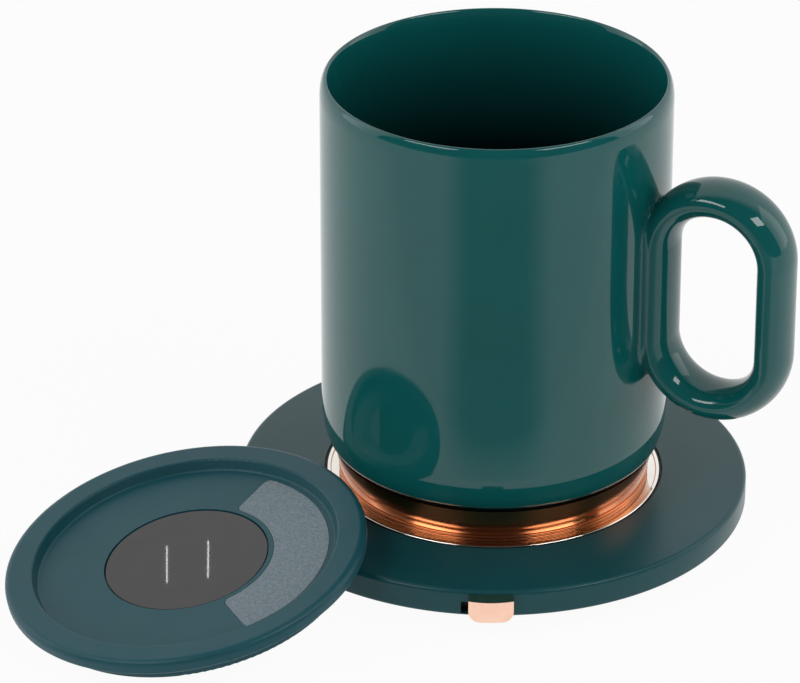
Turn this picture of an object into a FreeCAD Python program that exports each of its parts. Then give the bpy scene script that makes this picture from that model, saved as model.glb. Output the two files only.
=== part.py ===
import FreeCAD, Part

import math
import os

# Electric mug warmer with its matching mug and lid, in millimetres.
# The origin is on the table under the middle of the warmer, +Z is up and the front is -Y.

# Sizes of the warmer's casing
base_radius = 60.5
base_height = 12.0
wall_thickness = 1.8
roof_thickness = 1.8
top_edge_round = 1.1
wall_foot_round = 0.8
wall_height = 6.6
cover_thickness = 1.6
cover_flat_margin = 0.7
register_height = 0.4
foot_height = 1.2
foot_radius = 5.0
foot_recess = 0.6
foot_circle_radius = 41.0
foot_count = 4

# Sizes of the heating plate and what is stacked under it
plate_radius = 39.8
plate_metal = 0.8
plate_recess = 0.4
plate_lip_width = 1.0
plate_lip_rise = 0.1
plate_lip_round = 0.3
gasket_width = 0.45
gasket_flange_width = 2.8
gasket_flange_thickness = 1.0
gasket_top_drop = 0.3
film_thickness = 0.3
film_margin = 3.9
clamp_thickness = 1.0
clamp_ring_width = 14.0
clamp_lug_radius = 2.6
clamp_screw_angle = 22.5

# Sizes of the sensors, the boards and the wires
sensor_radius = 2.4
sensor_height = 1.6
fuse_radius = 1.0
fuse_length = 9.0
fuse_offset = 14.0
board_thickness = 1.0
board_headroom = 4.2
main_board_width = 44.0
main_board_depth = 24.3
rear_board_width = 20.0
rear_board_depth = 10.5
board_screw_inset = 3.5
chip_width = 7.0
chip_height = 1.0
chip_offset = 12.0
transistor_width = 6.5
transistor_height = 1.2
lead_radius = 0.7
lead_offset = 3.6
heater_lead_inset = 3.0

# Sizes of the power switch
slot_centre_x = -2.28
slot_width = 12.2
slot_height = 3.1
slot_drop = 1.1
switch_travel = 1.5
switch_end_clearance = 0.3
carrier_height = 2.3
knob_width = 10.4
knob_height = 5.2
knob_projection = 4.0
knob_crown = 0.8
knob_lower_round = 2.4
knob_top_drop = 0.7
knob_wall_gap = 0.35
retainer_overhang = 1.5
retainer_thickness = 1.2
retainer_height = 3.2
lever_width = 2.0
lever_height = 1.6
lever_reach = 2.4
switch_body_width = 9.0
switch_body_depth = 4.0
switch_body_height = 3.4

# Sizes of the power socket at the rear
socket_width = 9.0
socket_height = 3.2
socket_depth = 9.5
socket_wall = 0.3
socket_round = 1.55
socket_clearance = 0.15
socket_inset = 0.1
tongue_width = 6.6
tongue_thickness = 0.7
tongue_depth = 6.5

# Sizes of the screws
screw_radius = 1.0
screw_head_radius = 2.0
screw_head_height = 0.8
screw_bite = 5.8
cover_screw_angle = 45.0
cover_screw_count = 4
clamp_screw_bite = 2.6
boss_wall = 2.0
head_recess_clearance = 0.3

# Sizes of the mug
mug_foot_clearance = 2.5
mug_shoulder_width = 2.8
mug_wall = 2.5
mug_height = 102.4
mug_rim_round = 1.9
mug_lip_round = 0.5
mug_shoulder_height = 14.9
mug_shoulder_round = 14.0
mug_floor_height = 6.4
mug_inside_round = 10.0
band_height = 8.8
band_flare = 1.9
band_metal = 1.0
band_bead = 0.35
band_bead_height = 1.1
foot_disc_thickness = 1.6

# Sizes of the mug's handle
handle_angle = -26.5
handle_wall_offset = 1.3
handle_reach = 28.8
handle_low_line = 32.1
handle_high_line = 83.5
handle_corner = 14.2
handle_thickness = 8.2
handle_width = 14.2

# Sizes of the lid, which leans on the warmer's edge beside the mug
lid_overhang = 1.5
lid_rim_height = 3.4
lid_rim_width = 6.5
lid_rim_round = 1.5
lid_dish_depth = 2.5
lid_dish_slope = 1.0
lid_plug_clearance = 0.5
lid_plug_depth = 7.9
lid_plug_round = 0.6
lid_floor = 2.0
lid_skirt_wall = 2.2
lid_base_thickness = 1.3
seal_height = 1.4
seal_groove = 1.2
seal_proud = 0.5
lid_disc_radius = 19.0
lid_disc_thickness = 0.8
lid_disc_drop = 0.2
lid_disc_gap = 0.4
patch_inner_radius = 20.6
patch_outer_radius = 33.5
patch_half_angle = 60.0
patch_direction = -4.0
patch_thickness = 0.6
patch_corner = 1.6
lid_azimuth = -147.1
lid_mug_gap = 3.3
lid_floor_gap = 0.2
lid_edge_gap = 0.3

# Clearances
fit_clearance = 0.1
thread_clearance = 0.05
running_clearance = 0.3

FULL_TURN = 360.0
HALF_TURN = 180.0
QUARTER_TURN = 90.0
SMALLEST_EDGE = 1e-6
FLATTEST_LEAN = 1.0
STEEPEST_LEAN = 60.0
LEAN_STEPS = 40
UP = FreeCAD.Vector(0, 0, 1)
BACKWARD = FreeCAD.Vector(0, -1, 0)
ORIGIN = FreeCAD.Vector(0, 0, 0)


def in_section(a, b):
    """A point of a section drawn through the Z axis."""
    return FreeCAD.Vector(a, 0, b)


def in_plan(a, b):
    """A point of an outline drawn on the table."""
    return FreeCAD.Vector(a, b, 0)


def rounded_outline(corners, place):
    """A closed outline through corners (a, b, rounding radius)."""
    points = [place(a, b) for a, b, _ in corners]
    count = len(points)
    turns = []
    for i, (_, _, radius) in enumerate(corners):
        corner = points[i]
        back = (points[i - 1] - corner).normalize()
        ahead = (points[(i + 1) % count] - corner).normalize()
        if radius == 0:
            turns.append((corner, None, corner))
            continue
        half_angle = back.getAngle(ahead) / 2
        inward = (back + ahead).normalize()
        reach = radius / math.tan(half_angle)
        depth = radius / math.sin(half_angle) - radius
        turns.append((corner + back * reach, corner + inward * depth, corner + ahead * reach))
    edges = []
    for i, (start, middle, end) in enumerate(turns):
        if middle is not None:
            edges.append(Part.Arc(start, middle, end).toShape())
        following = turns[(i + 1) % count][0]
        if (following - end).Length > SMALLEST_EDGE:
            edges.append(Part.makeLine(end, following))
    return Part.Face(Part.Wire(edges))


def turned(corners):
    """A solid of revolution about the Z axis."""
    return rounded_outline(corners, in_section).revolve(ORIGIN, UP, FULL_TURN)


def disc(radius, low, high, x=0.0, y=0.0):
    return Part.makeCylinder(radius, high - low, FreeCAD.Vector(x, y, low))


def block(x_low, x_high, y_low, y_high, z_low, z_high):
    corner = FreeCAD.Vector(x_low, y_low, z_low)
    return Part.makeBox(x_high - x_low, y_high - y_low, z_high - z_low, corner)


def rod(radius, start, end):
    return Part.makeCylinder(radius, (end - start).Length, start, end - start)


def on_circle(radius, angle):
    turn = math.radians(angle)
    return radius * math.cos(turn), radius * math.sin(turn)


def around(radius, count, first_angle=0.0):
    """Evenly spaced places on a circle."""
    return [on_circle(radius, first_angle + FULL_TURN * i / count) for i in range(count)]


# Heights and radii that follow from the sizes
roof_underside = base_height - roof_thickness
seam_height = base_height - wall_height
shell_inner_radius = base_radius - wall_thickness
cover_radius = shell_inner_radius - fit_clearance
cover_floor_top = foot_height + cover_thickness
register_top = seam_height + register_height
plate_floor = base_height - plate_recess
plate_underside = plate_floor - plate_metal
gasket_outer_radius = plate_radius + fit_clearance + gasket_width
shell_hole_radius = gasket_outer_radius + fit_clearance
gasket_bottom = roof_underside - gasket_flange_thickness
plate_flange_bottom = gasket_bottom - plate_metal
plate_flange_radius = plate_radius + gasket_flange_width
film_bottom = plate_underside - film_thickness
clamp_bottom = plate_flange_bottom - clamp_thickness
insulator_radius = plate_radius - plate_metal - fit_clearance
film_radius = insulator_radius - film_margin
clamp_radius = plate_flange_radius + gasket_flange_width / 2
clamp_bore_radius = clamp_radius - clamp_ring_width
heater_lead_distance = clamp_bore_radius - heater_lead_inset
clamp_screw_circle = plate_flange_radius + running_clearance + clamp_lug_radius
cover_boss_radius = screw_radius + boss_wall
cover_screw_circle = clamp_radius + running_clearance + cover_boss_radius
cover_flat_radius = cover_screw_circle + cover_boss_radius + cover_flat_margin
cover_inner_flat = cover_flat_radius - cover_thickness / 2
clamp_screw_angles = (
    clamp_screw_angle,
    -clamp_screw_angle,
    HALF_TURN - clamp_screw_angle,
    HALF_TURN + clamp_screw_angle,
)
clamp_screw_places = [on_circle(clamp_screw_circle, angle) for angle in clamp_screw_angles]
cover_screw_places = around(cover_screw_circle, cover_screw_count, cover_screw_angle)
foot_places = around(foot_circle_radius, foot_count)
board_top = roof_underside - board_headroom
board_bottom = board_top - board_thickness
cover_slope = (cover_radius - cover_thickness - cover_inner_flat) / (register_top - cover_floor_top)
board_reach = cover_inner_flat + cover_slope * (board_bottom - cover_floor_top) - running_clearance
switch_body_back = clamp_radius + running_clearance
switch_body_front = switch_body_back + switch_body_depth
main_board_front = switch_body_front
main_board_back = main_board_front - main_board_depth
rear_board_back = math.sqrt(board_reach ** 2 - (rear_board_width / 2) ** 2)
rear_board_front = rear_board_back - rear_board_depth
main_screw_places = [
    (side * (main_board_width / 2 - board_screw_inset), -main_board_back - board_screw_inset)
    for side in (-1, 1)
]
rear_screw_places = [
    (side * (rear_board_width / 2 - board_screw_inset), rear_board_front + board_screw_inset)
    for side in (-1, 1)
]
board_screw_places = main_screw_places + rear_screw_places
slot_high = roof_underside - slot_drop
slot_low = slot_high - slot_height
carrier_middle_z = (slot_low + slot_high) / 2
carrier_width = slot_width - switch_travel - 2 * switch_end_clearance
knob_x = slot_centre_x + switch_travel / 2
knob_back = base_radius + knob_wall_gap
knob_front = base_radius + knob_projection
knob_high = base_height - knob_top_drop
knob_low = knob_high - knob_height
retained_x = max(abs(knob_x - switch_travel), abs(knob_x)) + carrier_width / 2 + retainer_overhang
retainer_front = math.sqrt(shell_inner_radius ** 2 - retained_x ** 2) - running_clearance
carrier_back = switch_body_front + running_clearance
lever_z = board_top + switch_body_height / 2
socket_back = base_radius - socket_inset
socket_middle_z = board_top + socket_height / 2
mug_bottom = plate_floor
band_bottom_radius = plate_radius - plate_lip_width - mug_foot_clearance
band_top_radius = band_bottom_radius + band_flare
mug_radius = band_top_radius + mug_shoulder_width
handle_inner_line = mug_radius + handle_wall_offset
handle_outer_line = handle_inner_line + handle_reach
lid_radius = mug_radius + lid_overhang
lid_plug_radius = mug_radius - mug_wall - lid_plug_clearance
mug_top = mug_bottom + mug_height
band_top = mug_bottom + band_height


def top_shell():
    """Moulded casing: roof, side wall, screw bosses and the openings for the switch and the socket."""
    shell = turned([
        (shell_hole_radius, base_height, 0),
        (base_radius, base_height, top_edge_round),
        (base_radius, seam_height, wall_foot_round),
        (shell_inner_radius, seam_height, 0),
        (shell_inner_radius, roof_underside, 0),
        (shell_hole_radius, roof_underside, 0),
    ])
    for x, y in cover_screw_places:
        shell = shell.fuse(disc(cover_boss_radius, cover_floor_top, roof_underside, x, y))
    for x, y in clamp_screw_places:
        shell = shell.fuse(disc(clamp_lug_radius, plate_flange_bottom, roof_underside, x, y))
    for x, y in cover_screw_places:
        pilot_top = foot_height + screw_head_height + screw_bite + thread_clearance
        shell = shell.cut(disc(screw_radius + thread_clearance, cover_floor_top, pilot_top, x, y))
    for x, y in clamp_screw_places:
        pilot_top = plate_flange_bottom + clamp_screw_bite + thread_clearance
        shell = shell.cut(disc(screw_radius + thread_clearance, plate_flange_bottom, pilot_top, x, y))
    slot_left = slot_centre_x - slot_width / 2
    slot_right = slot_centre_x + slot_width / 2
    shell = shell.cut(block(slot_left, slot_right, -base_radius, -retainer_front, slot_low, slot_high))
    socket_hole = socket_shape(socket_clearance, retainer_front, base_radius + socket_clearance)
    return shell.cut(socket_hole)


def socket_shape(grow, y_low, y_high):
    """Rounded slot-shaped prism along Y, as large as the socket and a little more all round."""
    half_width = socket_width / 2 + grow
    half_height = socket_height / 2 + grow
    radius = socket_round + grow
    face = rounded_outline([
        (-half_width, socket_middle_z - half_height, radius),
        (half_width, socket_middle_z - half_height, radius),
        (half_width, socket_middle_z + half_height, radius),
        (-half_width, socket_middle_z + half_height, radius),
    ], in_section)
    face.translate(FreeCAD.Vector(0, y_low, 0))
    return face.extrude(FreeCAD.Vector(0, y_high - y_low, 0))


def bottom_cover():
    """Moulded underside: a flat floor, a sloping edge and a lip that fits inside the side wall."""
    inner_lip_radius = cover_radius - cover_thickness
    cover = turned([
        (0, foot_height, 0),
        (cover_flat_radius, foot_height, 0),
        (cover_radius, seam_height, 0),
        (cover_radius, register_top, 0),
        (inner_lip_radius, register_top, 0),
        (cover_inner_flat, cover_floor_top, 0),
        (0, cover_floor_top, 0),
    ])
    for x, y in board_screw_places:
        cover = cover.fuse(disc(screw_radius + boss_wall / 2, cover_floor_top, board_bottom, x, y))
    for x, y in board_screw_places:
        cover = cover.cut(disc(screw_radius + thread_clearance, cover_floor_top, board_bottom, x, y))
    for x, y in cover_screw_places:
        head_top = foot_height + screw_head_height
        cover = cover.cut(disc(screw_head_radius + head_recess_clearance, foot_height, head_top, x, y))
        cover = cover.cut(disc(screw_radius + head_recess_clearance, foot_height, cover_floor_top, x, y))
    for x, y in foot_places:
        cover = cover.cut(disc(foot_radius + fit_clearance, foot_height, foot_height + foot_recess, x, y))
    return cover


def heating_plate():
    """Pressed stainless plate: a shallow floor inside a rounded lip, and a flange that is clamped."""
    lip_inner = plate_radius - plate_lip_width
    lip_top = base_height + plate_lip_rise
    return turned([
        (0, plate_floor, 0),
        (lip_inner, plate_floor, 0),
        (lip_inner, lip_top, plate_lip_round),
        (plate_radius, lip_top, plate_lip_round),
        (plate_radius, gasket_bottom, 0),
        (plate_flange_radius, gasket_bottom, 0),
        (plate_flange_radius, plate_flange_bottom, 0),
        (plate_radius - plate_metal, plate_flange_bottom, 0),
        (plate_radius - plate_metal, plate_underside, 0),
        (0, plate_underside, 0),
    ])


def plate_gasket():
    """Silicone ring: an upright lip in the gap round the plate and a flange under the roof."""
    inner = plate_radius + fit_clearance
    return turned([
        (inner, base_height - gasket_top_drop, 0),
        (gasket_outer_radius, base_height - gasket_top_drop, 0),
        (gasket_outer_radius, roof_underside, 0),
        (plate_flange_radius, roof_underside, 0),
        (plate_flange_radius, gasket_bottom, 0),
        (inner, gasket_bottom, 0),
    ])


def heater_film():
    """Printed heating element bonded under the plate."""
    return disc(film_radius, film_bottom, plate_underside)


def heat_insulator():
    """Fibre disc under the heating element, with holes for the sensor, the fuse and the leads."""
    insulator = disc(insulator_radius, plate_flange_bottom, film_bottom)
    insulator = insulator.cut(disc(sensor_radius + running_clearance, plate_flange_bottom, film_bottom))
    half_length = fuse_length / 2 + running_clearance
    half_width = fuse_radius + running_clearance
    fuse_hole = block(-half_length, half_length, fuse_offset - half_width, fuse_offset + half_width,
                      plate_flange_bottom, film_bottom)
    insulator = insulator.cut(fuse_hole)
    for side in (-1, 1):
        lead_hole = disc(lead_radius + running_clearance, plate_flange_bottom, film_bottom,
                         side * lead_offset, -heater_lead_distance)
        insulator = insulator.cut(lead_hole)
    return insulator


def plate_clamp_ring():
    """Steel ring that pulls the plate's flange and the insulator up against the roof."""
    ring = disc(clamp_radius, clamp_bottom, plate_flange_bottom)
    for x, y in clamp_screw_places:
        ring = ring.fuse(disc(clamp_lug_radius, clamp_bottom, plate_flange_bottom, x, y))
    ring = ring.cut(disc(clamp_bore_radius, clamp_bottom, plate_flange_bottom))
    for x, y in clamp_screw_places:
        ring = ring.cut(disc(screw_radius + fit_clearance, clamp_bottom, plate_flange_bottom, x, y))
    return ring


def temperature_sensor():
    """Thermistor bead bonded to the middle of the heating element."""
    return disc(sensor_radius, film_bottom - sensor_height, film_bottom)


def thermal_fuse():
    """One-shot fuse lying against the heating element."""
    middle = film_bottom - fuse_radius
    start = FreeCAD.Vector(-fuse_length / 2, fuse_offset, middle)
    end = FreeCAD.Vector(fuse_length / 2, fuse_offset, middle)
    return rod(fuse_radius, start, end)


def drilled_board(width, y_low, y_high, screw_places):
    board = block(-width / 2, width / 2, y_low, y_high, board_bottom, board_top)
    board = board.common(disc(board_reach, board_bottom, board_top))
    for x, y in screw_places:
        board = board.cut(disc(screw_radius + fit_clearance, board_bottom, board_top, x, y))
    return board


def circuit_board():
    """Main board behind the switch."""
    return drilled_board(main_board_width, -main_board_front, -main_board_back, main_screw_places)


def socket_board():
    """Small board that carries the power socket."""
    return drilled_board(rear_board_width, rear_board_front, rear_board_back, rear_screw_places)


def on_main_board(x, y, width, height):
    half = width / 2
    return block(x - half, x + half, y - half, y + half, board_top, board_top + height)


def control_chip():
    """Controller that holds the plate at its temperature."""
    y = -(main_board_front + main_board_back) / 2
    return on_main_board(chip_offset, y, chip_width, chip_height)


def power_transistor():
    """Transistor that switches the heater."""
    y = -(main_board_front + main_board_back) / 2
    return on_main_board(-chip_offset, y, transistor_width, transistor_height)


def heater_leads():
    """Two stiff wires from the main board up to the heating element."""
    leads = []
    for side in (-1, 1):
        x = side * lead_offset
        leads.append(disc(lead_radius, board_top, film_bottom, x, -heater_lead_distance))
    return Part.makeCompound(leads)


def power_leads():
    """Two stiff wires from the socket's board to the main board."""
    leads = []
    for side in (-1, 1):
        front = FreeCAD.Vector(side * lead_offset, -main_board_back, board_bottom)
        back = FreeCAD.Vector(side * lead_offset, rear_board_front, board_bottom)
        leads.append(rod(lead_radius, front, back))
    return Part.makeCompound(leads)


def slide_switch_body():
    """Housing of the slide switch, with the slot that its lever runs in."""
    half_width = switch_body_width / 2
    body = block(knob_x - half_width, knob_x + half_width, -switch_body_front, -switch_body_back,
                 board_top, board_top + switch_body_height)
    half_slot = lever_width / 2 + running_clearance
    half_height = lever_height / 2 + running_clearance
    slot_floor = switch_body_front - lever_reach - running_clearance
    slot = block(knob_x - switch_travel - half_slot, knob_x + half_slot, -switch_body_front, -slot_floor,
                 lever_z - half_height, lever_z + half_height)
    return body.cut(slot)


def switch_lever():
    """The slide switch's own lever, pushed along by the carrier."""
    half_width = lever_width / 2
    half_height = lever_height / 2
    front = switch_body_front + lever_reach
    back = switch_body_front - lever_reach
    return block(knob_x - half_width, knob_x + half_width, -front, -back,
                 lever_z - half_height, lever_z + half_height)


def switch_carrier():
    """Slider behind the knob: a stem through the slot, a retaining plate and a fork for the lever."""
    half_stem = carrier_width / 2
    half_height = carrier_height / 2
    carrier = block(knob_x - half_stem, knob_x + half_stem, -knob_back, -carrier_back,
                    carrier_middle_z - half_height, carrier_middle_z + half_height)
    half_plate = half_stem + retainer_overhang
    plate_back = retainer_front - retainer_thickness
    plate_low = board_top + fit_clearance
    retainer = block(knob_x - half_plate, knob_x + half_plate, -retainer_front, -plate_back,
                     plate_low, plate_low + retainer_height)
    carrier = carrier.fuse(retainer)
    half_fork = lever_width / 2 + fit_clearance
    fork_depth = switch_body_front + lever_reach + fit_clearance
    fork = block(knob_x - half_fork, knob_x + half_fork, -fork_depth, -carrier_back,
                 slot_low, slot_high)
    return carrier.cut(fork)


def switch_knob():
    """Rose gold knob: a crowned front and strongly rounded lower corners."""
    half_width = knob_width / 2
    face = rounded_outline([
        (knob_x - half_width, knob_low, knob_lower_round),
        (knob_x + half_width, knob_low, knob_lower_round),
        (knob_x + half_width, knob_high, 0),
        (knob_x - half_width, knob_high, 0),
    ], in_section)
    face.translate(FreeCAD.Vector(0, -knob_front, 0))
    knob = face.extrude(FreeCAD.Vector(0, knob_front - knob_back, 0))
    crown_radius = (half_width ** 2 + knob_crown ** 2) / (2 * knob_crown)
    crown = disc(crown_radius, knob_low, knob_high, knob_x, crown_radius - knob_front)
    return knob.common(crown)


def power_socket():
    """Metal shell of the low-voltage inlet."""
    shell = socket_shape(0, socket_back - socket_depth, socket_back)
    hollow = socket_shape(-socket_wall, socket_back - socket_depth + socket_wall, socket_back)
    return shell.cut(hollow)


def socket_tongue():
    """Contact tongue standing in the middle of the inlet."""
    half_width = tongue_width / 2
    half_thickness = tongue_thickness / 2
    back = socket_back - socket_depth + socket_wall
    return block(-half_width, half_width, back, back + tongue_depth,
                 socket_middle_z - half_thickness, socket_middle_z + half_thickness)


def screw(x, y, seat, bite, head_side):
    """A screw whose head stands below or above its seat, with the shank on the other side."""
    head_low, head_high = sorted((seat, seat + head_side * screw_head_height))
    shank_low, shank_high = sorted((seat, seat - head_side * bite))
    head = disc(screw_head_radius, head_low, head_high, x, y)
    return head.fuse(disc(screw_radius, shank_low, shank_high, x, y))


def cover_screws():
    """Screws up through the bottom cover into the casing's bosses."""
    seat = foot_height + screw_head_height
    return Part.makeCompound([screw(x, y, seat, screw_bite, -1) for x, y in cover_screw_places])


def clamp_screws():
    """Screws that hold the clamp ring against the roof."""
    bite = clamp_thickness + clamp_screw_bite
    return Part.makeCompound([screw(x, y, clamp_bottom, bite, -1) for x, y in clamp_screw_places])


def board_screws():
    """Screws that hold both boards on the cover's posts."""
    bite = board_top - cover_floor_top
    return Part.makeCompound([screw(x, y, board_top, bite, 1) for x, y in board_screw_places])


def rubber_feet():
    """Four round feet stuck into recesses of the bottom cover."""
    feet = [disc(foot_radius, 0, foot_height + foot_recess, x, y) for x, y in foot_places]
    return Part.makeCompound(feet)


def mug_body():
    """Glazed ceramic cup with a thick floor and a spigot that stands in the metal band."""
    inner_radius = mug_radius - mug_wall
    shoulder = mug_bottom + mug_shoulder_height
    spigot_bottom = mug_bottom + foot_disc_thickness + fit_clearance
    inset = band_metal + fit_clearance
    slope = (band_top_radius - band_bottom_radius) / band_height
    spigot_bottom_radius = band_bottom_radius + slope * (spigot_bottom - mug_bottom) - inset
    return turned([
        (0, spigot_bottom, 0),
        (spigot_bottom_radius, spigot_bottom, 0),
        (band_top_radius - inset, band_top, 0),
        (band_top_radius, band_top, 0),
        (mug_radius, shoulder, mug_shoulder_round),
        (mug_radius, mug_top, mug_rim_round),
        (inner_radius, mug_top, mug_lip_round),
        (inner_radius, mug_bottom + mug_floor_height, mug_inside_round),
        (0, mug_bottom + mug_floor_height, 0),
    ])


def mug_handle():
    """Closed ceramic loop, oval in section, that lies along the mug's wall.

    It has four straight legs and four round corners.
    """
    broad_end = in_plan(0, handle_width / 2)
    thin_end = in_plan(handle_thickness / 2, 0)
    section = Part.Face(Part.Wire(Part.Ellipse(broad_end, thin_end, ORIGIN).toShape()))
    section.translate(FreeCAD.Vector(handle_corner, 0, 0))
    left = handle_inner_line + handle_corner
    right = handle_outer_line - handle_corner
    low = mug_bottom + handle_low_line + handle_corner
    high = mug_bottom + handle_high_line - handle_corner
    loop = None
    for i, (x, z) in enumerate(((right, high), (left, high), (left, low), (right, low))):
        length = (high - low, right - left)[i % 2]
        leg = section.copy()
        leg.translate(FreeCAD.Vector(0, 0, -length))
        leg = leg.extrude(FreeCAD.Vector(0, 0, length))
        piece = leg.fuse(section.revolve(ORIGIN, BACKWARD, QUARTER_TURN))
        piece.rotate(ORIGIN, BACKWARD, QUARTER_TURN * i)
        piece.translate(FreeCAD.Vector(x, 0, z))
        loop = piece if loop is None else loop.fuse(piece)
    loop = loop.cut(disc(mug_radius, mug_bottom, mug_top)).removeSplitter()
    loop.rotate(ORIGIN, UP, handle_angle)
    return loop


def mug_foot_band():
    """Copper band round the mug's foot, with a rolled bead at its lower edge."""
    slope = (band_top_radius - band_bottom_radius) / band_height
    bead_low_radius = band_bottom_radius + band_bead
    bead_high_radius = band_bottom_radius + slope * band_bead_height + band_bead
    above_bead_radius = band_bottom_radius + slope * band_bead_height
    return turned([
        (band_bottom_radius - band_metal, mug_bottom, 0),
        (bead_low_radius, mug_bottom, band_bead / 2),
        (bead_high_radius, mug_bottom + band_bead_height, band_bead / 2),
        (above_bead_radius, mug_bottom + band_bead_height, 0),
        (band_top_radius, band_top, 0),
        (band_top_radius - band_metal, band_top, 0),
    ])


def mug_foot_disc():
    """Metal disc in the mug's foot that takes up the heat."""
    radius = band_bottom_radius - band_metal - fit_clearance
    return disc(radius, mug_bottom, mug_bottom + foot_disc_thickness)


# Lid sizes that follow, measured down from the plane of its rim
plug_skirt_radius = lid_plug_radius - lid_skirt_wall
dish_top_radius = lid_radius - lid_rim_width
dish_floor_radius = dish_top_radius - lid_dish_slope
lid_floor_underside = -lid_dish_depth - lid_floor
groove_middle = -(lid_rim_height + lid_plug_depth) / 2
disc_recess_floor = -lid_dish_depth - lid_disc_drop - lid_disc_thickness


def lid_centre(lean):
    """Distance from the Z axis and height of the rim's centre, for a lid that leans by this angle.

    The low corner of its plug is on the table and its underside is on the casing's rounded edge.
    """
    underside_z = lid_floor_gap + lid_plug_radius * math.sin(lean)
    edge_r = base_radius - top_edge_round
    edge_z = base_height - top_edge_round
    rise = (edge_z - underside_z) * math.cos(lean) + top_edge_round + lid_edge_gap
    underside_r = edge_r + rise / math.sin(lean)
    return underside_r + lid_plug_depth * math.sin(lean), underside_z + lid_plug_depth * math.cos(lean)


def lid_lean():
    """The lean at which the rim's high edge stays clear of the mug, found by halving a range."""
    flattest = math.radians(FLATTEST_LEAN)
    steepest = math.radians(STEEPEST_LEAN)
    for _ in range(LEAN_STEPS):
        lean = (flattest + steepest) / 2
        if lid_centre(lean)[0] - lid_radius * math.cos(lean) > mug_radius + lid_mug_gap:
            flattest = lean
        else:
            steepest = lean
    return lean


def leaned(shape):
    """Move a piece of the lid from the origin to where the lid leans."""
    lean = lid_lean()
    centre_r, centre_z = lid_centre(lean)
    shape.rotate(ORIGIN, UP, -lid_azimuth)
    shape.rotate(ORIGIN, -BACKWARD, math.degrees(lean))
    shape.translate(FreeCAD.Vector(centre_r, 0, centre_z))
    shape.rotate(ORIGIN, UP, lid_azimuth)
    return shape


def patch_prism(grow, low, high):
    """Rounded sector of a ring, for the inlay and, with grow, for its recess."""
    inner = patch_inner_radius - grow
    outer = patch_outer_radius + grow
    half_angle = math.radians(patch_half_angle)
    apex = -grow / math.sin(half_angle)
    far = 2 * outer
    wedge = rounded_outline([
        (apex, 0, 0),
        (apex + far, -far * math.tan(half_angle), 0),
        (apex + far, far * math.tan(half_angle), 0),
    ], in_plan)
    wedge.translate(FreeCAD.Vector(0, 0, low))
    wedge = wedge.extrude(FreeCAD.Vector(0, 0, high - low))
    ring = disc(outer, low, high).cut(disc(inner, low, high))
    ring.rotate(ORIGIN, UP, HALF_TURN)
    prism = ring.common(wedge)
    upright = [edge for edge in prism.Edges if abs(edge.Length - (high - low)) < SMALLEST_EDGE]
    prism = prism.makeFillet(patch_corner, upright)
    prism.rotate(ORIGIN, UP, patch_direction)
    return prism


def lid_shell():
    """Moulded lid: a rounded rim, a shallow dish with two recesses and a plug that enters the mug."""
    groove_low = groove_middle - seal_height / 2
    groove_high = groove_middle + seal_height / 2
    groove_radius = lid_plug_radius - seal_groove
    shell = turned([
        (0, -lid_dish_depth, 0),
        (dish_floor_radius, -lid_dish_depth, lid_plug_round),
        (dish_top_radius, 0, lid_plug_round),
        (lid_radius, 0, lid_rim_round),
        (lid_radius, -lid_rim_height, lid_plug_round),
        (lid_plug_radius, -lid_rim_height, 0),
        (lid_plug_radius, groove_high, 0),
        (groove_radius, groove_high, 0),
        (groove_radius, groove_low, 0),
        (lid_plug_radius, groove_low, 0),
        (lid_plug_radius, -lid_plug_depth, lid_plug_round),
        (plug_skirt_radius, -lid_plug_depth, 0),
        (plug_skirt_radius, lid_floor_underside, 0),
        (0, lid_floor_underside, 0),
    ])
    shell = shell.cut(disc(lid_disc_radius + lid_disc_gap, disc_recess_floor, -lid_dish_depth))
    shell = shell.cut(patch_prism(fit_clearance, -lid_dish_depth - patch_thickness, -lid_dish_depth))
    return leaned(shell)


def lid_base():
    """Disc that closes the underside of the lid's plug."""
    radius = plug_skirt_radius - fit_clearance
    return leaned(disc(radius, -lid_plug_depth, -lid_plug_depth + lid_base_thickness))


def lid_seal():
    """Silicone ring in the plug's groove."""
    half = seal_height / 2 - thread_clearance
    inner = lid_plug_radius - seal_groove
    outer = lid_plug_radius + seal_proud
    edge_round = half / 2
    seal = turned([
        (inner, groove_middle - half, 0),
        (outer, groove_middle - half, edge_round),
        (outer, groove_middle + half, edge_round),
        (inner, groove_middle + half, 0),
    ])
    return leaned(seal)


def lid_disc():
    """Dark disc let into the middle of the lid."""
    return leaned(disc(lid_disc_radius, disc_recess_floor, disc_recess_floor + lid_disc_thickness))


def lid_patch():
    """Frosted inlay beside the disc, flush with the dish."""
    return leaned(patch_prism(0, -lid_dish_depth - patch_thickness, -lid_dish_depth))


nodes = {
    "top_shell": top_shell,
    "bottom_cover": bottom_cover,
    "heating_plate": heating_plate,
    "plate_gasket": plate_gasket,
    "heater_film": heater_film,
    "heat_insulator": heat_insulator,
    "plate_clamp_ring": plate_clamp_ring,
    "temperature_sensor": temperature_sensor,
    "thermal_fuse": thermal_fuse,
    "circuit_board": circuit_board,
    "socket_board": socket_board,
    "control_chip": control_chip,
    "power_transistor": power_transistor,
    "heater_leads": heater_leads,
    "power_leads": power_leads,
    "slide_switch_body": slide_switch_body,
    "switch_lever": switch_lever,
    "switch_carrier": switch_carrier,
    "switch_knob": switch_knob,
    "power_socket": power_socket,
    "socket_tongue": socket_tongue,
    "cover_screws": cover_screws,
    "clamp_screws": clamp_screws,
    "board_screws": board_screws,
    "rubber_feet": rubber_feet,
    "mug_body": mug_body,
    "mug_handle": mug_handle,
    "mug_foot_band": mug_foot_band,
    "mug_foot_disc": mug_foot_disc,
    "lid_shell": lid_shell,
    "lid_base": lid_base,
    "lid_seal": lid_seal,
    "lid_disc": lid_disc,
    "lid_patch": lid_patch,
}

os.makedirs("parts", exist_ok=True)
for node, make in nodes.items():
    make().exportStep("parts/" + node + ".step")
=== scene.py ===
import math

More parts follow.
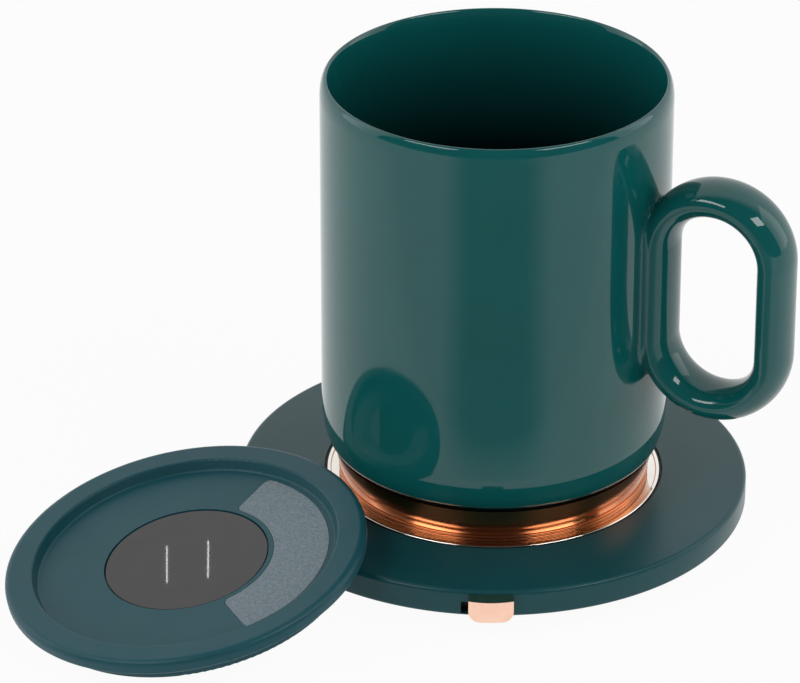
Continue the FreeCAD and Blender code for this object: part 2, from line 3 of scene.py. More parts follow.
import bpy
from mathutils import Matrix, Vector


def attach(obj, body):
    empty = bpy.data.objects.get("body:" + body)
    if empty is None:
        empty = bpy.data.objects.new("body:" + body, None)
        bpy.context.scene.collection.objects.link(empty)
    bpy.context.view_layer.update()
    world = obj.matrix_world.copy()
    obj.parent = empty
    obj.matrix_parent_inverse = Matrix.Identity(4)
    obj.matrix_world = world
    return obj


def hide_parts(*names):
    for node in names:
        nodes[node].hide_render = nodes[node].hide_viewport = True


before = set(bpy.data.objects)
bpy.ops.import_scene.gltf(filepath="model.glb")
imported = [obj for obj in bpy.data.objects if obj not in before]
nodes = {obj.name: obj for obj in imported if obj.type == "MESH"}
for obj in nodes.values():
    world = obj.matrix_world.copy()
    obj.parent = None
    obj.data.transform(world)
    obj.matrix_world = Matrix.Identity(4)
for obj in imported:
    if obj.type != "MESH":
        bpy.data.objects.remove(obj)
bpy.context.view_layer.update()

# Camera
# The set is seen from the front and 27 degrees above, from about 1.2 m away,
# through a long lens, so that the mug's sides stay nearly parallel.
CAMERA_PLACE = (-0.02236, -1.05207, 0.58765)
CAMERA_TILT = math.radians(62.73)
LENS_MM = 225.0
SENSOR_MM = 36.0
CLIP_START = 0.01

bpy.ops.object.select_all(action="DESELECT")
bpy.ops.object.camera_add(location=CAMERA_PLACE, rotation=(CAMERA_TILT, 0, 0))
camera = bpy.context.object
camera.data.lens = LENS_MM
camera.data.sensor_width = SENSOR_MM
camera.data.clip_start = CLIP_START
bpy.context.scene.camera = camera
bpy.context.scene.view_settings.view_transform = "Standard"


# Casing of the warmer
# The top shell is one round moulding in teal plastic with a soft satin lacquer.
# It is screwed to the cover from below, and its front has the slot for the switch.
def linear(red, green, blue):
    """An sRGB colour given in 0-255, as the linear colour that a shader takes."""
    values = []
    for value in (red, green, blue):
        share = value / 255
        values.append(share / 12.92 if share <= 0.04045 else ((share + 0.055) / 1.055) ** 2.4)
    return (*values, 1.0)


def add_node(tree, kind, **inputs):
    """A node with some inputs set or linked, each by its name, or by its place as i0 or i1."""
    node = tree.nodes.new(kind)
    for name, value in inputs.items():
        key = int(name[1:]) if name[1:].isdigit() else name.replace("_", " ")
        if isinstance(value, bpy.types.NodeSocket):
            tree.links.new(value, node.inputs[key])
        else:
            node.inputs[key].default_value = value
    return node


def new_finish(name, metallic=0.0, coat=0.0, coat_roughness=0.1, specular=0.5):
    """A material with its shader, and a node that gives places on the object in metres."""
    finish = bpy.data.materials.new(name)
    finish.use_nodes = True
    shader = finish.node_tree.nodes["Principled BSDF"]
    shader.inputs["Metallic"].default_value = metallic
    shader.inputs["Coat Weight"].default_value = coat
    shader.inputs["Coat Roughness"].default_value = coat_roughness
    shader.inputs["Specular IOR Level"].default_value = specular
    place = finish.node_tree.nodes.new("ShaderNodeTexCoord").outputs["Object"]
    return finish, shader, place


PATTERN_LOW = 0.3
PATTERN_HIGH = 0.7


def speckle(finish, place, grains_per_metre, detail=4.0):
    """Noise over the object, with grains of one size."""
    noise = add_node(finish.node_tree, "ShaderNodeTexNoise", Vector=place, Scale=grains_per_metre,
                     Detail=detail)
    return noise.outputs["Fac"]


def vary_colour(finish, shader, pattern, low, high):
    """The base colour runs from low to high as the pattern does."""
    ramp = add_node(finish.node_tree, "ShaderNodeValToRGB", Fac=pattern)
    low_end, high_end = ramp.color_ramp.elements
    low_end.position = PATTERN_LOW
    low_end.color = low
    high_end.position = PATTERN_HIGH
    high_end.color = high
    finish.node_tree.links.new(ramp.outputs["Color"], shader.inputs["Base Color"])


def vary_roughness(finish, shader, pattern, low, high):
    """The roughness runs from low to high as the pattern does."""
    spread = add_node(finish.node_tree, "ShaderNodeMapRange", Value=pattern, From_Min=PATTERN_LOW,
                      From_Max=PATTERN_HIGH, To_Min=low, To_Max=high)
    finish.node_tree.links.new(spread.outputs["Result"], shader.inputs["Roughness"])


def emboss(finish, shader, pattern, strength, height):
    """The surface rises and falls with the pattern by height, in metres."""
    bump = add_node(finish.node_tree, "ShaderNodeBump", Height=pattern, Strength=strength, Distance=height)
    finish.node_tree.links.new(bump.outputs["Normal"], shader.inputs["Normal"])


def wear(node, finish):
    """Give a node of the frame this finish all over."""
    slots = nodes[node].data.materials
    slots.clear()
    slots.append(finish)


CASING_RADIUS = 0.0605
CASING_TOP = 0.0120
CASING_SEAM = 0.0054
CASING_WALL = 0.0018
CASING_HOLE_RADIUS = 0.04045
CASING_EDGE_ROUND = 0.0011
CASING_SEAM_ROUND = 0.0008
SLOT_X = (-0.00838, 0.00382)
SLOT_Z = (0.0060, 0.0091)
SLOT_ROUND = 0.0003
SOCKET_X = (-0.00465, 0.00465)
SOCKET_Z = (0.00585, 0.00935)
SOCKET_ROUND = 0.0017
TURN_STEPS = 256
SMOOTH_ANGLE = math.radians(35)


def oval_arc(centre, half_width, half_height, first, last, steps):
    """Points (radius, height) on an arc of an ellipse, for angles in degrees."""
    angles = [math.radians(first + (last - first) * i / steps) for i in range(steps + 1)]
    return [(centre[0] + half_width * math.cos(a), centre[1] + half_height * math.sin(a)) for a in angles]


def spun(name, profile, closed=False):
    """A piece turned about the Z axis from a profile of points (radius, height)."""
    bpy.ops.object.select_all(action="DESELECT")
    bpy.ops.mesh.primitive_plane_add(size=0.001)
    piece = bpy.context.object
    piece.name = name
    bpy.ops.object.mode_set(mode="EDIT")
    bpy.ops.mesh.select_mode(type="VERT")
    bpy.ops.mesh.select_all(action="SELECT")
    bpy.ops.mesh.merge(type="CENTER")
    bpy.ops.transform.translate(value=(profile[0][0], 0, profile[0][1]))
    for (r_from, z_from), (r_to, z_to) in zip(profile, profile[1:]):
        step = (r_to - r_from, 0, z_to - z_from)
        bpy.ops.mesh.extrude_region_move(TRANSFORM_OT_translate={"value": step})
    bpy.ops.mesh.select_all(action="SELECT")
    if closed:
        bpy.ops.mesh.remove_doubles(threshold=1e-7)
    bpy.ops.mesh.spin(steps=TURN_STEPS, angle=2 * math.pi, center=(0, 0, 0), axis=(0, 0, 1))
    bpy.ops.mesh.select_all(action="SELECT")
    bpy.ops.mesh.remove_doubles(threshold=1e-6)
    bpy.ops.mesh.normals_make_consistent(inside=False)
    bpy.ops.object.mode_set(mode="OBJECT")
    bpy.ops.object.shade_smooth_by_angle(angle=SMOOTH_ANGLE)
    return piece


def cut_through_wall(piece, y_middle, x_span, z_span, rounding):
    """Cut a slot through the casing's wall, with its long edges rounded."""
    bpy.ops.object.select_all(action="DESELECT")
    bpy.ops.mesh.primitive_cube_add(size=1, location=(sum(x_span) / 2, y_middle, sum(z_span) / 2))
    cutter = bpy.context.object
    cutter.scale = (x_span[1] - x_span[0], 4 * CASING_WALL, z_span[1] - z_span[0])
    bpy.ops.object.transform_apply(location=True, rotation=True, scale=True)
    bpy.ops.object.mode_set(mode="EDIT")
    bpy.ops.mesh.select_all(action="DESELECT")
    bpy.ops.object.mode_set(mode="OBJECT")
    for edge in cutter.data.edges:
        first, last = (cutter.data.vertices[index].co for index in edge.vertices)
        edge.select = abs(first.y - last.y) > CASING_WALL
    bpy.ops.object.mode_set(mode="EDIT")
    bpy.ops.mesh.select_mode(type="EDGE")
    bpy.ops.mesh.bevel(offset=rounding, segments=8)
    bpy.ops.object.mode_set(mode="OBJECT")
    bpy.ops.object.select_all(action="DESELECT")
    piece.select_set(True)
    bpy.context.view_layer.objects.active = piece
    cut = piece.modifiers.new("cut", "BOOLEAN")
    cut.operation = "DIFFERENCE"
    cut.object = cutter
    bpy.ops.object.modifier_apply(modifier=cut.name)
    bpy.data.objects.remove(cutter)


casing_finish, casing_shader, casing_place = new_finish("satin_teal_lacquer", specular=0.28)
vary_colour(casing_finish, casing_shader, speckle(casing_finish, casing_place, 60),
            linear(19, 74, 79), linear(22, 78, 84))
vary_roughness(casing_finish, casing_shader, speckle(casing_finish, casing_place, 150), 0.28, 0.33)
emboss(casing_finish, casing_shader, speckle(casing_finish, casing_place, 2500), 0.04, 0.00003)
roof_underside = CASING_TOP - CASING_WALL
casing_profile = [(CASING_HOLE_RADIUS, CASING_TOP)]
casing_profile += oval_arc((CASING_RADIUS - CASING_EDGE_ROUND, CASING_TOP - CASING_EDGE_ROUND),
                           CASING_EDGE_ROUND, CASING_EDGE_ROUND, 90, 0, 10)
casing_profile += oval_arc((CASING_RADIUS - CASING_SEAM_ROUND, CASING_SEAM + CASING_SEAM_ROUND),
                           CASING_SEAM_ROUND, CASING_SEAM_ROUND, 0, -90, 8)
casing_profile += [(CASING_RADIUS - CASING_WALL, CASING_SEAM), (CASING_RADIUS - CASING_WALL, roof_underside),
                   (CASING_HOLE_RADIUS, roof_underside), (CASING_HOLE_RADIUS, CASING_TOP)]
casing = spun("casing", casing_profile, closed=True)
cut_through_wall(casing, -CASING_RADIUS, SLOT_X, SLOT_Z, SLOT_ROUND)
cut_through_wall(casing, CASING_RADIUS, SOCKET_X, SOCKET_Z, SOCKET_ROUND)
bpy.ops.object.shade_smooth_by_angle(angle=SMOOTH_ANGLE)
casing.data.materials.append(casing_finish)
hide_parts("top_shell")
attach(casing, "warmer_base")

# Bottom cover
# The underside is a second moulding in the same plastic with a fine spark-eroded grain.
# It sits inside the casing's wall and carries the boards, the screws and the feet.
cover_finish, cover_shader, cover_place = new_finish("grained_dark_teal")
vary_colour(cover_finish, cover_shader, speckle(cover_finish, cover_place, 1500),
            linear(18, 46, 50), linear(24, 54, 58))
vary_roughness(cover_finish, cover_shader, speckle(cover_finish, cover_place, 900), 0.55, 0.7)
emboss(cover_finish, cover_shader, speckle(cover_finish, cover_place, 3000), 0.5, 0.0001)
wear("bottom_cover", cover_finish)

# Feet
# Four soft black rubber pads are stuck into round recesses of the cover.
# They keep the warmer from sliding and lift it just clear of the table.
rubber_finish, rubber_shader, rubber_place = new_finish("foot_rubber", specular=0.3)
vary_colour(rubber_finish, rubber_shader, speckle(rubber_finish, rubber_place, 400),
            linear(24, 25, 26), linear(34, 35, 36))
vary_roughness(rubber_finish, rubber_shader, speckle(rubber_finish, rubber_place, 1200), 0.7, 0.85)
emboss(rubber_finish, rubber_shader, speckle(rubber_finish, rubber_place, 2500), 0.4, 0.0001)
wear("rubber_feet", rubber_finish)

# Gasket
# A black silicone ring is squeezed into the gap between the plate and the casing and keeps drips out.
# Its near-black colour is also painted shade: it draws the shadow of that gap as a thin dark line round the
# plate.
gasket_gap_shade_finish, gasket_gap_shade_shader, gasket_gap_shade_place = new_finish("black_silicone_gap_shade", specular=0.3)
# Painted shade: the near-black colour stands for the shadow in the gap round the plate.
vary_colour(gasket_gap_shade_finish, gasket_gap_shade_shader, speckle(gasket_gap_shade_finish, gasket_gap_shade_place, 300),
            linear(10, 11, 12), linear(18, 19, 20))
vary_roughness(gasket_gap_shade_finish, gasket_gap_shade_shader, speckle(gasket_gap_shade_finish, gasket_gap_shade_place, 900), 0.5, 0.65)
wear("plate_gasket", gasket_gap_shade_finish)

# Heating plate
# The plate is pressed from thin stainless sheet and polished, with a fine turned grain.
# Its rounded lip stands a hair above the casing and shows as a white line.
plate_finish, plate_shader, plate_place = new_finish("polished_stainless", metallic=1.0)
vary_colour(plate_finish, plate_shader, speckle(plate_finish, plate_place, 120),
            linear(226, 222, 214), linear(240, 237, 230))
vary_roughness(plate_finish, plate_shader, speckle(plate_finish, plate_place, 60), 0.04, 0.07)
wear("heating_plate", plate_finish)

# Inner metal
# The clamp ring, the screws, the fuse and the shells of socket and switch are stamped or
# turned steel, zinc-plated, with a slightly cloudy finish. So is the disc in the mug's foot.
steel_finish, steel_shader, steel_place = new_finish("zinc_plated_steel", metallic=1.0)
vary_colour(steel_finish, steel_shader, speckle(steel_finish, steel_place, 700),
            linear(168, 170, 174), linear(198, 200, 203))
vary_roughness(steel_finish, steel_shader, speckle(steel_finish, steel_place, 1500), 0.25, 0.4)
for node in ("plate_clamp_ring", "thermal_fuse", "slide_switch_body", "power_socket", "cover_screws",
             "clamp_screws", "board_screws", "mug_foot_disc"):
    wear(node, steel_finish)

# Boards and what is on them
# The two boards are green glass-fibre laminate, screwed to posts of the cover.
# The chips, the switch's lever and carrier and the socket's tongue are black mouldings.
board_finish, board_shader, board_place = new_finish("green_laminate")
vary_colour(board_finish, board_shader, speckle(board_finish, board_place, 900),
            linear(14, 70, 38), linear(22, 92, 50))
vary_roughness(board_finish, board_shader, speckle(board_finish, board_place, 600), 0.3, 0.45)
for node in ("circuit_board", "socket_board"):
    wear(node, board_finish)

moulded_finish, moulded_shader, moulded_place = new_finish("black_moulding", specular=0.4)
vary_colour(moulded_finish, moulded_shader, speckle(moulded_finish, moulded_place, 800),
            linear(12, 12, 13), linear(22, 22, 24))
vary_roughness(moulded_finish, moulded_shader, speckle(moulded_finish, moulded_place, 2000), 0.45, 0.6)
for node in ("control_chip", "power_transistor", "socket_tongue", "switch_carrier", "switch_lever"):
    wear(node, moulded_finish)

# Heater and insulation
# The heater is an amber film with printed tracks, stuck under the plate, and its sensor is
# dipped in the same amber. Under them the clamp ring holds a disc of pressed fibre.
film_finish, film_shader, film_place = new_finish("amber_film", coat=0.4)
vary_colour(film_finish, film_shader, speckle(film_finish, film_place, 350),
            linear(176, 96, 22), linear(206, 128, 40))
vary_roughness(film_finish, film_shader, speckle(film_finish, film_place, 500), 0.2, 0.35)
for node in ("heater_film", "temperature_sensor"):
    wear(node, film_finish)

fibre_finish, fibre_shader, fibre_place = new_finish("pressed_fibre", specular=0.2)
vary_colour(fibre_finish, fibre_shader, speckle(fibre_finish, fibre_place, 1200, 8),
            linear(186, 178, 160), linear(222, 216, 200))
vary_roughness(fibre_finish, fibre_shader, speckle(fibre_finish, fibre_place, 800), 0.8, 0.95)
emboss(fibre_finish, fibre_shader, speckle(fibre_finish, fibre_place, 1800, 8), 0.6, 0.0002)
wear("heat_insulator", fibre_finish)

# Leads
# Copper wires in red insulation are soldered between the socket, the boards and the heater.
# They are stiff enough to stay as they were bent.
lead_finish, lead_shader, lead_place = new_finish("red_wire_insulation", specular=0.4)
vary_colour(lead_finish, lead_shader, speckle(lead_finish, lead_place, 500),
            linear(150, 22, 20), linear(176, 34, 30))
vary_roughness(lead_finish, lead_shader, speckle(lead_finish, lead_place, 900), 0.35, 0.5)
for node in ("power_leads", "heater_leads"):
    wear(node, lead_finish)

# Switch knob
# The knob is a small moulding plated in rose gold and polished. It is pressed onto the stem
# of the carrier, which reaches out through the casing's slot, and slides with it.
gold_finish, gold_shader, gold_place = new_finish("rose_gold_plating", metallic=1.0)
vary_colour(gold_finish, gold_shader, speckle(gold_finish, gold_place, 500),
            linear(250, 204, 180), linear(254, 212, 190))
vary_roughness(gold_finish, gold_shader, speckle(gold_finish, gold_place, 1500), 0.12, 0.2)
wear("switch_knob", gold_finish)

# Mug
# The mug is slip-cast stoneware with a thick floor and a soft rolled lip, dipped in a deep
# green-blue glaze that stops at its foot. Down inside the mug its colour is darkened by painted shade.
MUG_RADIUS = 0.0410
MUG_WALL = 0.0025
MUG_TOP = 0.1140
MUG_FLOOR = 0.0180
FOOT_PLANE = 0.0133
FOOT_RADIUS = 0.0353
SPIGOT_RADIUS = 0.0370
BAND_TOP = 0.0204
GLAZE_LINE_RADIUS = 0.0381
GLAZE_BEAD = 0.0005
SHOULDER_TOP = 0.0308
LIP_RADIUS = 0.0396
LIP_OUTER_HEIGHT = 0.0045
LIP_INNER_HEIGHT = 0.0050
FLOOR_ROUND = 0.0100
INSIDE_REACH = (0.0004, 0.0001)
SHADE_START_DEPTH = 0.006
SHADE_FULL_DEPTH = 0.036
MIX_SHARE, MIX_FIRST, MIX_SECOND, MIX_RESULT = 0, 6, 7, 2

glaze_finish, glaze_shader, glaze_place = new_finish("deep_teal_glaze")
vary_colour(glaze_finish, glaze_shader, speckle(glaze_finish, glaze_place, 40),
            linear(12, 87, 86), linear(15, 92, 92))
vary_roughness(glaze_finish, glaze_shader, speckle(glaze_finish, glaze_place, 300), 0.04, 0.07)
emboss(glaze_finish, glaze_shader, speckle(glaze_finish, glaze_place, 120), 0.02, 0.0002)


def add_math(tree, operation, first, second):
    """A number worked out from two others, of which a sum stays between 0 and 1."""
    node = add_node(tree, "ShaderNodeMath", i0=first, i1=second)
    node.operation = operation
    node.use_clamp = operation == "ADD"
    return node.outputs["Value"]


# Painted shade: on the inner wall the glaze colour fades towards a near-black teal from 6 mm to 36 mm below
# the lip.
inner_radius = MUG_RADIUS - MUG_WALL
glaze_tree = glaze_finish.node_tree
flattened = add_node(glaze_tree, "ShaderNodeVectorMath", i0=glaze_place, i1=(1, 1, 0))
flattened.operation = "MULTIPLY"
from_axis = add_node(glaze_tree, "ShaderNodeVectorMath", i0=flattened.outputs["Vector"])
from_axis.operation = "LENGTH"
within = add_node(glaze_tree, "ShaderNodeMapRange", Value=from_axis.outputs["Value"],
                  From_Min=inner_radius + INSIDE_REACH[0], From_Max=inner_radius + INSIDE_REACH[1])
glaze_axes = add_node(glaze_tree, "ShaderNodeSeparateXYZ", Vector=glaze_place)
depth = add_node(glaze_tree, "ShaderNodeMapRange", Value=glaze_axes.outputs["Z"],
                 From_Min=MUG_TOP - SHADE_START_DEPTH, From_Max=MUG_TOP - SHADE_FULL_DEPTH)
inside_shade_share = add_math(glaze_tree, "MULTIPLY", within.outputs["Result"], depth.outputs["Result"])
unshaded_glaze_colour = glaze_shader.inputs["Base Color"].links[0].from_socket
inside_painted_shade = glaze_tree.nodes.new("ShaderNodeMix")
inside_painted_shade.data_type = "RGBA"
inside_painted_shade.inputs[MIX_SECOND].default_value = linear(4, 22, 24)
glaze_tree.links.new(inside_shade_share, inside_painted_shade.inputs[MIX_SHARE])
glaze_tree.links.new(unshaded_glaze_colour, inside_painted_shade.inputs[MIX_FIRST])
glaze_tree.links.new(inside_painted_shade.outputs[MIX_RESULT], glaze_shader.inputs["Base Color"])

mug_profile = [(0, FOOT_PLANE), (FOOT_RADIUS, FOOT_PLANE), (SPIGOT_RADIUS, BAND_TOP)]
mug_profile += oval_arc((GLAZE_LINE_RADIUS - GLAZE_BEAD, BAND_TOP + GLAZE_BEAD), GLAZE_BEAD, GLAZE_BEAD,
                        -90, -20, 6)
mug_profile += oval_arc((GLAZE_LINE_RADIUS, SHOULDER_TOP), MUG_RADIUS - GLAZE_LINE_RADIUS,
                        SHOULDER_TOP - BAND_TOP - 2 * GLAZE_BEAD, -80, 0, 20)
mug_profile += oval_arc((LIP_RADIUS, MUG_TOP - LIP_OUTER_HEIGHT), MUG_RADIUS - LIP_RADIUS, LIP_OUTER_HEIGHT,
                        0, 90, 20)
mug_profile += oval_arc((LIP_RADIUS, MUG_TOP - LIP_INNER_HEIGHT), LIP_RADIUS - inner_radius,
                        LIP_INNER_HEIGHT, 95, 180, 16)
mug_profile += oval_arc((inner_radius - FLOOR_ROUND, MUG_FLOOR + FLOOR_ROUND),
                        FLOOR_ROUND, FLOOR_ROUND, 0, -90, 16)
mug_profile += [(0, MUG_FLOOR)]
mug_cup = spun("mug_cup", mug_profile)
mug_cup.data.materials.append(glaze_finish)
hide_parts("mug_body")
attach(mug_cup, "mug")

# Handle
# The handle is a closed loop of the same clay, oval in section, stuck along the mug's wall
# before firing. The seam is sponged to a small fillet, which the glaze makes softer still.
HANDLE_ANGLE = math.radians(-26.5)
HANDLE_INNER = 0.0423
HANDLE_OUTER = 0.0711
HANDLE_LOW = 0.0437
HANDLE_HIGH = 0.0951
HANDLE_CORNER = 0.0142
HANDLE_HALF_THICKNESS = 0.0041
HANDLE_HALF_WIDTH = 0.0071
SEAM_ROUND = 0.0018
SEAM_REACH = 0.004
LEAST_SIDEWAYS = 0.2
RING_STEPS = 96
LEG_STEPS = 30
CORNER_STEPS = 40

outward = Vector((math.cos(HANDLE_ANGLE), math.sin(HANDLE_ANGLE), 0))
across = Vector((-math.sin(HANDLE_ANGLE), math.cos(HANDLE_ANGLE), 0))
upward = Vector((0, 0, 1))
leg_length = HANDLE_HIGH - HANDLE_LOW - 2 * HANDLE_CORNER
bridge_length = HANDLE_OUTER - HANDLE_INNER - 2 * HANDLE_CORNER
bpy.ops.object.select_all(action="DESELECT")
bpy.ops.mesh.primitive_circle_add(
    vertices=RING_STEPS, radius=1, location=outward * HANDLE_OUTER + upward * (HANDLE_LOW + HANDLE_CORNER),
    rotation=(0, 0, HANDLE_ANGLE))
mug_loop = bpy.context.object
mug_loop.name = "mug_loop"
mug_loop.scale = (HANDLE_HALF_THICKNESS, HANDLE_HALF_WIDTH, 1)
bpy.ops.object.transform_apply(location=True, rotation=True, scale=True)
bpy.ops.object.mode_set(mode="EDIT")
bpy.ops.mesh.select_mode(type="VERT")
bpy.ops.mesh.select_all(action="SELECT")
corner_x = (HANDLE_OUTER - HANDLE_CORNER, HANDLE_INNER + HANDLE_CORNER)
corner_z = (HANDLE_LOW + HANDLE_CORNER, HANDLE_HIGH - HANDLE_CORNER)
legs = [
    (upward * leg_length, LEG_STEPS, (corner_x[0], corner_z[1])),
    (-outward * bridge_length, 1, (corner_x[1], corner_z[1])),
    (-upward * leg_length, LEG_STEPS, (corner_x[1], corner_z[0])),
    (outward * bridge_length, 1, (corner_x[0], corner_z[0])),
]
for run, steps, (reach, height) in legs:
    for _ in range(steps):
        bpy.ops.mesh.extrude_region_move(TRANSFORM_OT_translate={"value": run / steps})
    bpy.ops.mesh.spin(steps=CORNER_STEPS, angle=math.pi / 2, center=outward * reach + upward * height,
                      axis=across)
bpy.ops.mesh.select_all(action="SELECT")
bpy.ops.mesh.remove_doubles(threshold=2e-6)
bpy.ops.mesh.normals_make_consistent(inside=False)
bpy.ops.object.mode_set(mode="OBJECT")
bpy.ops.object.shade_smooth()
normals = [vertex.normal.copy() for vertex in mug_loop.data.vertices]
for vertex, normal in zip(mug_loop.data.vertices, normals):
    radial = Vector((vertex.co.x, vertex.co.y, 0))
    from_wall = radial.normalized()
    height_over_wall = radial.length - MUG_RADIUS
    sideways = normal - from_wall * normal.dot(from_wall)
    if not -SEAM_REACH <= height_over_wall <= SEAM_ROUND or sideways.length < LEAST_SIDEWAYS:
        continue
    lift = SEAM_ROUND - max(height_over_wall, 0)
    vertex.co += sideways.normalized() * (SEAM_ROUND - math.sqrt(max(SEAM_ROUND ** 2 - lift ** 2, 0)))
mug_loop.data.materials.append(glaze_finish)
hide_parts("mug_handle")
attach(mug_loop, "mug")

# Foot band
# A band of copper sheet is spun to the foot's flare, with two rolled beads at its lower edge,
# polished and glued on. Its upper part mirrors the dark casing, so it looks nearly black.
BAND_BOTTOM = 0.0116
BAND_BOTTOM_RADIUS = 0.0363
BAND_METAL = 0.0010
BAND_PROUD = 0.0001
BEADS = 2
BEAD_SIZE = 0.00036
BEAD_GAP = 0.00018

copper_finish, copper_shader, copper_place = new_finish("polished_copper", metallic=1.0)
vary_colour(copper_finish, copper_shader, speckle(copper_finish, copper_place, 90),
            linear(196, 118, 74), linear(206, 128, 84))
vary_roughness(copper_finish, copper_shader, speckle(copper_finish, copper_place, 60), 0.16, 0.2)
band_top_radius = GLAZE_LINE_RADIUS + BAND_PROUD
band_lean = (band_top_radius - BAND_BOTTOM_RADIUS) / (BAND_TOP - BAND_BOTTOM)
band_profile = [(BAND_BOTTOM_RADIUS - BAND_METAL, BAND_BOTTOM)]
bead_height = BAND_BOTTOM + BEAD_SIZE
for _ in range(BEADS):
    bead_radius = BAND_BOTTOM_RADIUS + band_lean * (bead_height - BAND_BOTTOM)
    band_profile += oval_arc((bead_radius, bead_height), BEAD_SIZE, BEAD_SIZE, -90, 90, 12)
    bead_height += 2 * BEAD_SIZE + BEAD_GAP
band_profile += [(band_top_radius, BAND_TOP), (band_top_radius - BAND_METAL, BAND_TOP)]
band_profile += [band_profile[0]]
foot_band = spun("foot_band", band_profile, closed=True)
foot_band.data.materials.append(copper_finish)
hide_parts("mug_foot_band")
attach(foot_band, "mug")

# Lid
# The lid is moulded in the casing's teal plastic, with a smoother skin. A base closes its plug
# from below, and a silicone ring in the same teal seals it in the mug.
lid_finish, lid_shader, lid_place = new_finish("satin_teal_lid", specular=0.34)
vary_colour(lid_finish, lid_shader, speckle(lid_finish, lid_place, 60),
            linear(20, 78, 88), linear(23, 82, 92))
vary_roughness(lid_finish, lid_shader, speckle(lid_finish, lid_place, 150), 0.38, 0.44)
emboss(lid_finish, lid_shader, speckle(lid_finish, lid_place, 2500), 0.04, 0.00003)
for node in ("lid_shell", "lid_base", "lid_seal"):
    wear(node, lid_finish)

# Lid disc and inlay
# The disc is a dark, polished sheet stuck into the lid's dish, and it mirrors two short lamps.
# Beside it lies a sector of frosted film, a little paler than the lid.
disc_finish, disc_shader, disc_place = new_finish("dark_disc")
vary_colour(disc_finish, disc_shader, speckle(disc_finish, disc_place, 200),
            linear(48, 46, 47), linear(53, 51, 52))
vary_roughness(disc_finish, disc_shader, speckle(disc_finish, disc_place, 900), 0.008, 0.015)
wear("lid_disc", disc_finish)

frost_finish, frost_shader, frost_place = new_finish("frosted_inlay", specular=0.4)
vary_colour(frost_finish, frost_shader, speckle(frost_finish, frost_place, 1800, 6),
            linear(112, 128, 136), linear(146, 161, 168))
vary_roughness(frost_finish, frost_shader, speckle(frost_finish, frost_place, 2000), 0.5, 0.65)
emboss(frost_finish, frost_shader, speckle(frost_finish, frost_place, 2000, 6), 0.5, 0.0001)
wear("lid_patch", frost_finish)

# Table and light
# A white table runs out of view in a white room. Two wide soft lamps hang in front, left and
# right, 48 degrees up, a large dim one stands at each side, and two short tubes hang high at
# the back, where the lid's disc mirrors them. Mirrors see a darker front than the camera does.
FLOOR_SIZE = 12.0
FLOOR_DROP = 0.0001
PAPER_SHARE = 0.95
CARD_COLOUR = (0.85, 0.85, 0.85, 1)
FRONT_EDGE = -0.085
FRONT_DEPTH = 0.03
FRONT_BEARINGS = (0.25, 0.7)
DARK_FRONT = 0.25
SIDE_LOSS = 0.1
ROOM_TURN = (0.3, -0.1)
DARK_ROOM = 0.06
SKY_HEIGHTS = (0.1, 0.55)
SKY_EDGE = 1.3
SKY_TOP = 0.0
SET_MIDDLE = Vector((0, 0, 0.05))
SOFTBOX_PLACE = Vector((0.838, -0.667, 1.19))
SOFTBOX_SIZE = (0.8, 0.34)
SOFTBOX_WATTS = 5.5
SIDE_PLACE = Vector((1.7, 0.2, 0.8))
SIDE_SIZE = (1.2, 1.6)
SIDE_WATTS = 6
TUBES_MIDDLE = Vector((-0.5366, 1.5, 1.3005))
TUBE_SHIFT = Vector((0.0132, 0, 0.0025))
TUBE_SIZE = (0.0007, 0.0238)
TUBE_WATTS = 0.0006
TUBE_ROLL = math.radians(-26)
DISC_MIDDLE = Vector((-0.0717, -0.0464, 0.0122))


def direct_rays(tree):
    """1 for what is seen straight, mirrored or through glass, or else 0, and 1 for mirrored alone."""
    rays = tree.nodes.new("ShaderNodeLightPath")
    seen = add_math(tree, "ADD", rays.outputs["Is Camera Ray"], rays.outputs["Is Glossy Ray"])
    return add_math(tree, "ADD", seen, rays.outputs["Is Transmission Ray"]), rays.outputs["Is Glossy Ray"]


bpy.ops.object.select_all(action="DESELECT")
bpy.ops.mesh.primitive_plane_add(size=FLOOR_SIZE, location=(0, 0, -FLOOR_DROP))
floor = bpy.context.object
floor.name = "floor"
floor_finish = bpy.data.materials.new("white_table")
floor_finish.use_nodes = True
floor_tree = floor_finish.node_tree
floor_tree.nodes.remove(floor_tree.nodes["Principled BSDF"])
floor_seen, floor_mirrored = direct_rays(floor_tree)
floor_place = floor_tree.nodes.new("ShaderNodeTexCoord").outputs["Object"]
floor_axes = add_node(floor_tree, "ShaderNodeSeparateXYZ", Vector=floor_place)
bearing = add_math(floor_tree, "DIVIDE", floor_axes.outputs["X"], floor_axes.outputs["Y"])
bearing = add_math(floor_tree, "ABSOLUTE", bearing, 0.0)
front_loss = add_node(floor_tree, "ShaderNodeMapRange", Value=bearing, From_Min=FRONT_BEARINGS[0],
                      From_Max=FRONT_BEARINGS[1], To_Min=1.0 - DARK_FRONT, To_Max=SIDE_LOSS)
front_loss.interpolation_type = "SMOOTHSTEP"
ahead = add_node(floor_tree, "ShaderNodeMapRange", Value=floor_axes.outputs["Y"],
                 From_Min=FRONT_EDGE, From_Max=FRONT_EDGE - FRONT_DEPTH)
paper_loss = add_math(floor_tree, "MULTIPLY", front_loss.outputs["Result"], ahead.outputs["Result"])
paper_loss = add_math(floor_tree, "MULTIPLY", paper_loss, floor_mirrored)
paper_strength = add_math(floor_tree, "SUBTRACT", 1.0, paper_loss)
paper = add_node(floor_tree, "ShaderNodeEmission", Strength=paper_strength)
card = add_node(floor_tree, "ShaderNodeBsdfDiffuse", Color=CARD_COLOUR)
share = add_math(floor_tree, "MULTIPLY", floor_seen, PAPER_SHARE)
surface = add_node(floor_tree, "ShaderNodeMixShader", Fac=share, i1=card.outputs["BSDF"],
                   i2=paper.outputs["Emission"])
floor_tree.links.new(surface.outputs["Shader"], floor_tree.nodes["Material Output"].inputs["Surface"])
floor.data.materials.append(floor_finish)

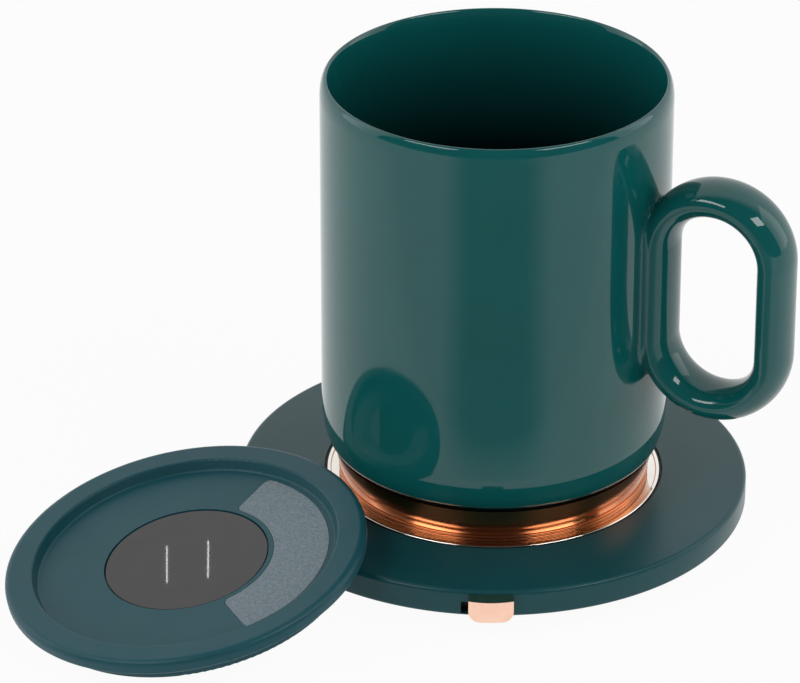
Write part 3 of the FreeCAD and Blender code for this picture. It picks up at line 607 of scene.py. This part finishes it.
world = bpy.data.worlds.new("studio")
bpy.context.scene.world = world
world.use_nodes = True
world_tree = world.node_tree
world_seen, world_mirrored = direct_rays(world_tree)
sky_place = world_tree.nodes.new("ShaderNodeTexCoord").outputs["Generated"]
sky_axes = add_node(world_tree, "ShaderNodeSeparateXYZ", Vector=sky_place)
sky = add_node(world_tree, "ShaderNodeMapRange", Value=sky_axes.outputs["Z"], From_Min=SKY_HEIGHTS[0],
               From_Max=SKY_HEIGHTS[1], To_Min=SKY_EDGE, To_Max=SKY_TOP)
room_front = add_node(world_tree, "ShaderNodeMapRange", Value=sky_axes.outputs["Y"], From_Min=ROOM_TURN[0],
                      From_Max=ROOM_TURN[1], To_Min=0.0, To_Max=1.0 - DARK_ROOM)
room_front.interpolation_type = "SMOOTHSTEP"
room_loss = add_math(world_tree, "MULTIPLY", room_front.outputs["Result"], world_mirrored)
seen_part = add_math(world_tree, "SUBTRACT", world_seen, room_loss)
bounced = add_math(world_tree, "SUBTRACT", 1.0, world_seen)
sky_part = add_math(world_tree, "MULTIPLY", bounced, sky.outputs["Result"])
room_strength = add_math(world_tree, "ADD", sky_part, seen_part)
room = world_tree.nodes["Background"]
room.inputs["Color"].default_value = (1, 1, 1, 1)
world_tree.links.new(room_strength, room.inputs["Strength"])


def panel(name, place, size, watts, target=SET_MIDDLE, roll=0.0):
    """A rectangular lamp aimed at the target, turned about its own axis by roll."""
    aim = target - place
    bpy.ops.object.light_add(type="AREA", location=place, rotation=aim.to_track_quat("-Z", "Y").to_euler())
    lamp = bpy.context.object
    lamp.rotation_euler.rotate_axis("Z", roll)
    lamp.name = name
    lamp.data.shape = "RECTANGLE"
    lamp.data.size, lamp.data.size_y = size
    lamp.data.energy = watts


for side, name in ((-1, "left"), (1, "right")):
    mirror = Vector((side, 1, 1))
    panel(name + "_softbox", SOFTBOX_PLACE * mirror, SOFTBOX_SIZE, SOFTBOX_WATTS)
    panel(name + "_side", SIDE_PLACE * mirror, SIDE_SIZE, SIDE_WATTS)
    panel(name + "_tube", TUBES_MIDDLE + side * TUBE_SHIFT, TUBE_SIZE, TUBE_WATTS, DISC_MIDDLE, TUBE_ROLL)
